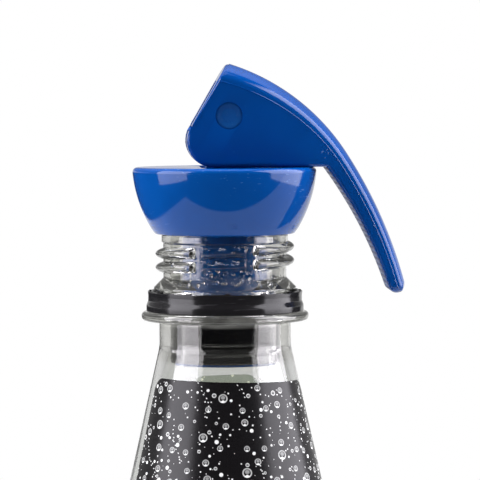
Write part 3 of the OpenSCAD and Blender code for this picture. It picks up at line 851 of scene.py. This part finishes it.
def makeCap():
    s = cap
    lean = math.radians(s["lean"])
    start = s["curve"] * math.sin(lean)

    def side(drop):
        return s["r"] - s["curve"] * (math.cos(lean) - math.cos(math.asin((drop + start) / s["curve"])))

    first, last = s["edge"] + 0.25, s["h"] - s["foot"] - s["edge"] - 0.25
    falls = [first + last * i / s["rows"] for i in range(s["rows"])]
    path = [(0, capTopZ, 0), (s["r"], capTopZ, s["edge"])] + [(side(d), capTopZ - d, 0) for d in falls]
    path += [(side(s["h"]) - s["footIn"], rimZ, s["foot"]), (s["bossR"], rimZ, 0.3),
             (s["bossR"], rimZ - s["bossL"], 0.6), (0, rimZ - s["bossL"], 0)]
    piece = spun("stopper_bowl", roundedLine(path, 8), s["steps"])
    seat = crossRod(s["seatR"], s["seatW"], pinX + s["seatX"], capTopZ + s["seatR"] - s["seatSink"], 160)
    cut(piece, seat, barTool(rimZ - s["bossL"] - 1, capTopZ + 1))
    softEdges(piece, 0.12, 2, 60)
    smooth(piece, 30)
    paint(piece, materials["cap"], materials["boss"])
    # the boss's faces take the lighter blue, painted light for the shade of the neck's glass
    for face in piece.data.polygons:
        x, y, z = face.center / mm
        if z < rimZ + 0.01 and math.hypot(x, y) < s["bossR"] + 0.2:
            face.material_index = 1
    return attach(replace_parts(piece, "stopper_cap"), "stopper")


makeCap()
print("stopper cap made")

# rubber plug
stem = {"plateR": 10.0, "plateT": 1.2, "eyeR": 4.5, "boreR": 2.65}
plug = {"r": 10.78, "top": 216.0, "length": 10.5, "round": 1.1, "skirt": 0.7, "skirtGap": 0.04, "steps": 160,
        "grooves": (212.9, 208.7, 206.6), "groove": (0.28, 0.16), "longest": 0.6}


def makePlug():
    s = plug
    low, skirtR = s["top"] - s["length"], stem["plateR"] + s["skirtGap"]
    half, deep = s["groove"]
    path = [(0, s["top"], 0), (s["r"] - 0.05, s["top"], s["round"])]
    for z in s["grooves"]:
        path += [(s["r"], z + half, 0.12), (s["r"] - deep, z, 0.12), (s["r"], z - half, 0.12)]
    # a thin skirt hangs over the plate's edge
    path += [(s["r"] - 0.05, low - s["skirt"], 0.25), (skirtR, low - s["skirt"], 0.2), (skirtR, low, 0),
             (0, low, 0)]
    line = finer(roundedLine(path, 5), lambda z: s["longest"])
    piece = spun("plug_rubber", line, s["steps"])
    cut(piece, barTool(low - 1, s["top"] + 1))
    smooth(piece, 40)
    paint(piece, materials["rubber"])
    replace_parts(piece, "rubber_plug")
    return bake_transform(piece)


makePlug()
print("rubber plug made")

# stem and pin
pin = {"r": 2.6, "recess": 0.15, "dish": 0.16, "dishR": 0.55, "rimR": 0.86}


def makeStem():
    s = stem
    low = plug["top"] - plug["length"] - s["plateT"]
    outline = [(pinX - s["eyeR"], low + 0.3), (pinX + s["eyeR"], low + 0.3)]
    for a in [math.radians(degrees) for degrees in range(0, 181, 5)]:
        outline.append((pinX + s["eyeR"] * math.cos(a), pinZ + s["eyeR"] * math.sin(a)))
    piece = slab("stem_bar", outline, -stemBar["t"] / 2, stemBar["t"] / 2)
    softEdges(piece, 0.35, 3, 60)
    plate = spun("plate", roundedLine([(0, low + s["plateT"], 0), (s["plateR"], low + s["plateT"], 0.25),
                                       (s["plateR"], low, 0.4), (0, low, 0)], 5), 128)
    bore = crossRod(s["boreR"], 2 * stemBar["t"], pinX, pinZ)
    cut(piece, plate, how="UNION")
    cut(piece, bore)
    smooth(piece, 35)
    paint(piece, materials["stem"])
    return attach(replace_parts(piece, "stem"), "stem")


# lever, drawn around its pin: x towards the arm, y up
lever = {"lockH": 10.1, "openH": 5.35, "swing": 120.0, "camR": 5.2, "crownH": 10.3, "crownR": 42.6,
         "armR": 90.0, "rootT": 5.2, "tipT": 3.6, "headW": 16.0, "tipW": 11.8, "domeR": 10.0,
         "crownSlope": 16.85, "joinSlope": 56.9, "tipSlope": 74.8, "edge": 1.0, "shoulder": 0.54,
         "faceEdge": 0.8, "slotR": 4.75, "slotW": 6.5, "boreR": 2.61, "reach": 30,
         # the raised line where the mould parts: its start, crest and end below the dome, and its height
         "parting": (0.26, 0.18, 0.09), "partingH": 0.07, "domeSteps": 8,
         # sections over the cam, over the locked flat, down the arm and round the tip
         "camSteps": 14, "flatSteps": 18, "armSteps": 30, "tipSteps": 10, "tipTurn": 8.95, "tipTaper": 6,
         "camShare": 0.28}


def sloped(slope):
    return polar(1, 90 - slope)


# the resting face's direction, the centres of the arcs of cam, crown and arm, where the arm's underside meets
# the locked flat, and the crown's slope above the resting face
faceNormal = 270 - lever["swing"]
faceTurn, crownTurn = math.radians(faceNormal), math.radians(lever["crownSlope"])
camY = lever["camR"] - lever["lockH"]
camX = (lever["openH"] - lever["camR"] - camY * math.sin(faceTurn)) / math.cos(faceTurn)
camCentre = Vector((camX, camY))
crownWay = Vector((math.sin(crownTurn), math.cos(crownTurn)))
crownCentre = Vector((0, lever["crownH"])) - crownWay * lever["crownR"]
armCentre = crownCentre - sloped(lever["joinSlope"]) * (lever["armR"] - lever["crownR"])
underR = lever["armR"] - lever["rootT"]
armRootX = armCentre.x + underR * math.sqrt(1 - ((-lever["lockH"] - armCentre.y) / underR) ** 2)
apexReach = lever["openH"] - crownCentre.dot(polar(1, faceNormal))
apexSlope = 90 - faceNormal + math.degrees(math.acos(apexReach / lever["crownR"]))


def widthAt(slope):
    s = lever
    return s["headW"] + (s["tipW"] - s["headW"]) * (slope - apexSlope) / (s["tipSlope"] - apexSlope)


def leverRing(top, under, wide, full, inset=0.0, shift=Vector((0, 0))):
    # a flat underside with rounded edges, upright sides, and a flat dome between two tighter rounds
    s = lever
    up = (top - under).normalized()
    scale = (top - under).length / full
    edge = min(s["edge"], full / 3)
    half, high = wide / 2 - inset, full - inset
    sag = s["domeR"] - math.sqrt(s["domeR"] ** 2 - half ** 2)
    slope = s["shoulder"] * math.asin(half / s["domeR"])
    rise = math.tan(slope / 2)
    tight = (sag - half * rise) / (math.cos(slope) - (1 - math.sin(slope)) * rise)
    flat = (half - tight * (1 - math.sin(slope))) / math.sin(slope)
    n, side = s["domeSteps"], high - sag
    start, crest, end = s["parting"]
    right = []
    for a in [math.radians(degrees) for degrees in (0, 18, 36, 54, 72, 90)]:
        right.append((half - edge + edge * math.sin(a), inset + edge - edge * math.cos(a)))
    right.append((half, (right[-1][1] + high - sag) / 2))
    right += [(half, side - start), (half + s["partingH"], side - crest), (half + s["partingH"], side - end)]
    for i in range(n + 1):
        a = math.pi / 2 + (slope - math.pi / 2) * i / n
        right.append((half - tight * (1 - math.sin(a)), side + tight * math.cos(a)))
    turns = [slope * i / n for i in range(n - 1, -n, -1)]
    dome = [(flat * math.sin(a), high - flat * (1 - math.cos(a))) for a in turns]
    left = [(-x, y) for x, y in reversed(right)]
    ring = []
    for across, y in right + dome + left:
        p = under + up * y * scale + shift
        ring.append((p.x + pinX, across, p.y + pinZ))
    return ring


def crown(slope):
    return crownCentre + sloped(slope) * lever["crownR"]


def arm(slope, inwards=0.0):
    return armCentre + sloped(slope) * (lever["armR"] - inwards)


def armT(slope):
    s = lever
    return s["rootT"] + (s["tipT"] - s["rootT"]) * (slope - s["joinSlope"]) / (s["tipSlope"] - s["joinSlope"])


def between(a, b, t):
    return a + (b - a) * t


def leverStations():
    # from the resting face to the tip: top, underside, width and full height of each section
    s, stations = lever, []
    for i in range(s["camSteps"] + 1):  # over the cam corner
        t = i / s["camSteps"]
        slope = between(apexSlope, s["joinSlope"], s["camShare"] * t)
        top, under = crown(slope), camCentre + polar(s["camR"], between(faceNormal, 270, t))
        stations.append((top, under, widthAt(slope), (top - under).length))
    for i in range(1, s["flatSteps"] + 1):  # over the locked flat
        t = i / s["flatSteps"]
        slope = between(apexSlope, s["joinSlope"], between(s["camShare"], 1, t))
        top, under = crown(slope), Vector((between(camCentre.x, armRootX, t), -s["lockH"]))
        stations.append((top, under, widthAt(slope), (top - under).length))
    for i in range(1, s["armSteps"] + 1):  # down the arm
        slope = between(s["joinSlope"], s["tipSlope"], i / s["armSteps"])
        stations.append((arm(slope), arm(slope, armT(slope)), widthAt(slope), armT(slope)))
    tipWay, tipOut = polar(1, -s["tipSlope"]), sloped(s["tipSlope"])
    tipMiddle = arm(s["tipSlope"], s["tipT"] / 2)
    for i in range(1, s["tipSteps"] + 1):  # round the tip
        a = math.radians(s["tipTurn"] * i)
        m, h = tipMiddle + tipWay * s["tipT"] / 2 * math.sin(a), s["tipT"] / 2 * math.cos(a)
        wide = s["tipW"] - s["tipTaper"] * (1 - math.cos(a))
        stations.append((m + tipOut * h, m - tipOut * h, wide, s["tipT"]))
    return stations


def makeLever():
    s = lever
    stations = leverStations()
    # the resting face, with a rounded edge all round
    face = polar(1, faceNormal)
    e = s["faceEdge"]
    top, under, wide, full = stations[0]
    rings = []
    for a in [math.radians(degrees) for degrees in range(90, 0, -10)]:
        inset = e * (1 - math.cos(a))
        rings.append(leverRing(top, under, wide, full, inset, face * -e * (1 - math.sin(a))))
    rings = [leverRing(top, under, wide, full, e + 2.0)] + rings
    rings += [leverRing(*st) for st in stations if (st[1] - under).length > e * 0.9]
    piece = drawnOut("lever_arm", rings)
    # a slot for the stem, round about the pin and open to the underside and the resting face
    far, upper = polar(s["reach"], faceNormal), polar(s["slotR"], faceNormal - 90)
    outline = [Vector((s["slotR"], -s["reach"])), Vector((s["slotR"], 0))]
    outline += [polar(s["slotR"], a) for a in range(6, int(faceNormal - 90) + 1, 6)]
    outline += [upper, upper + far, far + Vector((0, -s["reach"]))]
    slot = slab("slot", [(p.x + pinX, p.y + pinZ) for p in outline], -s["slotW"] / 2, s["slotW"] / 2)
    cut(piece, slot, crossRod(s["boreR"], 40, pinX, pinZ))
    softEdges(piece, 0.10, 2, 62)
    smooth(piece, 28)
    paint(piece, materials["lever"], materials["leverUnder"])
    # the arm's underside looks towards the arc's centre
    for face in piece.data.polygons:
        x, z = face.center.x / mm - pinX, face.center.z / mm - pinZ
        out = (Vector((x, z)) - armCentre).normalized()
        if x > armRootX and face.normal.x * out.x + face.normal.z * out.y < -0.85:
            face.material_index = 1
    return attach(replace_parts(piece, "lever"), "lever")


def makePin():
    s = pin
    half = widthAt(2 * lever["crownSlope"]) / 2 - s["recess"]
    end = [(0, half - s["dish"], 0), (s["r"] * s["dishR"], half - s["dish"], 1.0),
           (s["r"] * s["rimR"], half, 0.15), (s["r"], half, 0.12)]
    path = end + [(r, -along, corner) for r, along, corner in reversed(end)]
    piece = spun("pivot_rod", roundedLine(path, 5), 96, axis=(0, 1, 0), centre=(pinX * mm, 0, pinZ * mm))
    smooth(piece, 40)
    paint(piece, materials["pin"])
    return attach(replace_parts(piece, "pivot_pin"), "lever")


makeStem()
makeLever()
makePin()
print("stem, lever and pin made")

# water on the neck
drops = {"seed": 21, "count": 210, "small": 0.09, "large": 0.42, "sunk": 0.2, "tall": 0.75, "long": (0.85, 1.5),
         # below the rim: near the bead, over the whole neck, and where those under the band go instead
         "low": (6.6, 9.6), "whole": (1.8, 13.5), "band": (10.2, 15.4), "instead": (7.6, 8.6)}


def makeDrops():
    s = drops
    chance = random.Random(s["seed"])
    deselectAll()
    bpy.ops.mesh.primitive_uv_sphere_add(segments=10, ring_count=6, radius=1)
    start = bpy.context.object
    bpy.ops.object.mode_set(mode="EDIT")
    bpy.ops.mesh.bisect(plane_co=(0, 0, -s["sunk"]), plane_no=(0, 0, 1), use_fill=True, clear_inner=True)
    bpy.ops.object.mode_set(mode="OBJECT")
    made = []
    for i in range(s["count"]):
        if i % 3:
            azimuth, depth = chance.gauss(6, 22), chance.uniform(*s["low"])
        else:
            azimuth, depth = chance.uniform(-60, 70), chance.uniform(*s["whole"])
        if s["band"][0] < depth < s["band"][1]:
            depth = chance.uniform(*s["instead"])
        flare = max(0.0, min(bottle["beadTop"], depth - bottle["flareTop"]))
        r = bottle["rootR"] + flare + threadHeight(azimuth, depth)
        radius = s["small"] + (s["large"] - s["small"]) * chance.random() ** 3
        drop = start.copy()
        drop.data = start.data.copy()
        bpy.context.scene.collection.objects.link(drop)
        a = math.radians(azimuth - 90)
        long = radius * chance.uniform(*s["long"])
        squash = Matrix.Diagonal((radius * mm, long * mm, radius * s["tall"] * mm, 1))
        out = Vector((math.cos(a), math.sin(a), 0.0))
        turn = out.to_track_quat("Z", "Y").to_matrix().to_4x4()
        spot = Matrix.Translation((r * mm * math.cos(a), r * mm * math.sin(a), (rimZ - depth) * mm))
        drop.data.transform(spot @ turn @ squash)
        made.append(drop)
    bpy.data.objects.remove(start)
    makeActive(*made)
    bpy.ops.object.join()
    piece = bpy.context.object
    piece.name = "neck_droplets"
    smooth(piece, 60)
    paint(piece, materials["water"])
    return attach(piece, "bottle")


makeDrops()
print("droplets made")

# camera, floor and light
shot = {"distance": 600.0, "height": 257.0, "azimuth": -2.2, "aimRight": 3.0, "aimZ": 228.7, "roll": 0.25,
        "across": 94.75, "sensor": 36}
lampTint = (1.0, 0.975, 1.05)
lampAim = (0, 0, 0.235)
lamps = {
    # azimuth, rise, distance, width and height in metres, glow, and whether gloss and matt surfaces see it
    "softboxLeft": (-72, 9, 0.78, 0.66, 1.12, 3.1, True, True),
    "softboxRight": (84, 17, 0.78, 0.86, 1.36, 3.1, True, True),
    "sheenLeft": (-72, 22, 0.77, 0.66, 0.76, 2.6, True, False),
    "sheenRight": (84, 28, 0.77, 0.86, 0.97, 2.6, True, False),
    "rimLeft": (-108, 38, 1.0, 0.7, 0.7, 5.0, False, True),
    "rimRight": (108, 38, 1.0, 0.7, 0.7, 5.0, False, True),
    "topFill": (10, 84, 1.0, 0.8, 0.8, 5.5, False, True),
}


def makeCamera():
    s = shot
    a = math.radians(s["azimuth"])
    away = Vector((-math.sin(a), math.cos(a), 0))
    right = Vector((math.cos(a), math.sin(a), 0))
    spot = away * -s["distance"] + Vector((0, 0, s["height"]))
    aim = right * s["aimRight"] + Vector((0, 0, s["aimZ"]))
    data = bpy.data.cameras.new("camera")
    camera = bpy.data.objects.new("camera", data)
    bpy.context.scene.collection.objects.link(camera)
    look = (aim - spot).to_track_quat("-Z", "Y").to_matrix().to_4x4()
    roll = Matrix.Rotation(math.radians(-s["roll"]), 4, "Z")
    camera.matrix_world = Matrix.Translation(spot * mm) @ look @ roll
    data.sensor_width = s["sensor"]
    data.lens = s["sensor"] * (aim - spot).length / s["across"]
    data.clip_start, data.clip_end = 0.02, 60
    bpy.context.scene.camera = camera


def softbox(name, azimuth, rise, away, wide, tall, glow, inGloss, inMatt):
    # a lit rectangle that faces the neck; glow is its brightness beside white paper
    a, b = math.radians(azimuth - 90), math.radians(rise)
    data = bpy.data.lights.new(name, "AREA")
    data.shape, data.size, data.size_y = "RECTANGLE", wide, tall
    data.energy = glow * math.pi * wide * tall
    data.color = lampTint
    lamp = bpy.data.objects.new(name, data)
    bpy.context.scene.collection.objects.link(lamp)
    spot = Vector((math.cos(b) * math.cos(a), math.cos(b) * math.sin(a), math.sin(b))) * away
    facing = spot.to_track_quat("Z", "Y").to_matrix().to_4x4()
    lamp.matrix_world = Matrix.Translation(Vector(lampAim) + spot) @ facing
    lamp.visible_camera = False
    lamp.visible_glossy, lamp.visible_diffuse = inGloss, inMatt


# the floor's grey for matt surfaces and for the eye, its levels, and where the table ends that gloss sees
ground = {"size": 24, "sunk": 0.00005, "plain": (0.88, 0.88, 0.88), "soft": (0.42, 0.42, 0.42),
          "dark": (0.03, 0.03, 0.035), "white": (1.0, 1.0, 1.0), "pale": 0.9,
          "tableLeft": (-0.40, -0.37), "tableFront": (-0.256, -0.238), "whiteFrom": (0.25, 0.8),
          "paleFrom": (-0.30, -0.05),
          # the gap in the table lies between two lines, each through x and y with a slope
          "gapNear": (0.29, 0.06, 0.305), "gapFar": (0.28, 0.10, 1.6), "gapNearEdge": (0.0, 0.02),
          "gapFarEdge": (0.0, 0.03)}


def makeFloor():
    s = ground
    deselectAll()
    bpy.ops.mesh.primitive_grid_add(x_subdivisions=8, y_subdivisions=8, size=s["size"],
                                    location=(0, 0, -s["sunk"]))
    floor = bpy.context.object
    floor.name = "floor"
    material, t = newMaterial("paleFloor")
    x, y, _ = t.split(t.coords())
    far = (x * x + y * y) ** 0.5
    path = t.add("ShaderNodeLightPath").socket.node
    seen = Value(t, path.outputs["Is Camera Ray"])
    gloss = Value(t, path.outputs["Is Glossy Ray"])
    through = Value(t, path.outputs["Is Transmission Ray"])
    # the lit table that gloss sees ends in front and at the left, with a dark gap at the right
    table = x.ramp(*s["tableLeft"]) * y.ramp(*s["tableFront"])
    nearX, nearY, nearSlope = s["gapNear"]
    farX, farY, farSlope = s["gapFar"]
    gap = (y - nearY - (x - nearX) * nearSlope).ramp(*s["gapNearEdge"])
    gap = gap * (farY + (x - farX) * farSlope - y).ramp(*s["gapFarEdge"])
    table = table * (1.0 - gap)
    plain = t.add("ShaderNodeBsdfDiffuse", inputs={"Color": s["plain"]})
    soft = t.add("ShaderNodeBsdfDiffuse", inputs={"Color": s["soft"]})
    bright = t.add("ShaderNodeEmission", inputs={"Color": s["white"], "Strength": 1.0})
    dark = t.add("ShaderNodeEmission", inputs={"Color": s["dark"], "Strength": 1.0})
    pale = t.add("ShaderNodeEmission", inputs={"Color": s["white"], "Strength": s["pale"]})

    def mixed(share, a, b):
        return t.add("ShaderNodeMixShader", inputs={0: share, 1: a, 2: b})

    result = mixed(gloss, soft, mixed(table, dark, bright))
    result = mixed(through, result, mixed(y.ramp(*s["paleFrom"]), dark, pale))
    result = mixed(seen, result, mixed(far.ramp(*s["whiteFrom"]), plain, bright))
    t.add("ShaderNodeOutputMaterial", inputs={"Surface": result})
    paint(floor, material)


# the room round about: each pair is where a part begins and ends, as a share of the way to x, y or z,
# and each number is its glow
room = {"wallRight": (0.42, 0.50), "wallLeft": (-0.06, 0.02), "wall": 0.62, "wallDip": (0.04, 0.16),
        "wallDipBy": 0.42, "wallRise": (0.35, 0.8), "wallRiseBy": 0.6, "ceiling": (0.90, 0.96),
        "ceilingGlow": 1.15, "dark": 0.025,
        # what shows through the clear wall of the bottle: ahead, and behind it
        "ahead": (0.10, 0.28), "aheadGlow": 0.42, "aheadDark": 0.03, "back": (-0.05, 0.30), "backGlow": 0.38,
        "backMiddle": (0.50, 0.95), "backMiddleBy": 0.42}


def makeWorld():
    s = room
    world = bpy.data.worlds.new("studio")
    bpy.context.scene.world = world
    t = Tree(world)
    x, y, z = t.split(t.coords("Generated"))
    path = t.add("ShaderNodeLightPath").socket.node
    seen, through = (Value(t, path.outputs[n]) for n in ("Is Camera Ray", "Is Transmission Ray"))
    # a bright ceiling, a paler back wall that is open further round on the left, and a dark room in front
    side = x.over(0.0)
    wall = side * y.ramp(*s["wallRight"]) + (1.0 - side) * y.ramp(*s["wallLeft"])
    dip, rise = z.ramp(*s["wallDip"]), z.ramp(*s["wallRise"])
    wall = wall * (s["wall"] - dip * s["wallDipBy"] + rise * s["wallRiseBy"])
    glow = (s["dark"] + wall).most(z.ramp(*s["ceiling"]) * s["ceilingGlow"])
    ahead = z.size().ramp(*s["ahead"]) * s["aheadGlow"] + s["aheadDark"]
    back = y.ramp(*s["back"])
    behind = s["backGlow"] + y.ramp(*s["backMiddle"]) * s["backMiddleBy"]
    shownThrough = ahead * (1.0 - back) + back * behind
    level = seen * 1.0 + (1.0 - seen) * (through * shownThrough + (1.0 - through) * glow)
    sky = t.add("ShaderNodeBackground", inputs={"Color": (1.0, 1.0, 1.0), "Strength": level})
    t.add("ShaderNodeOutputWorld", inputs={"Surface": sky})


makeCamera()
for name, settings in lamps.items():
    softbox(name, *settings)
makeFloor()
makeWorld()
bpy.context.scene.view_settings.view_transform = "Standard"
print("camera, floor and light made")
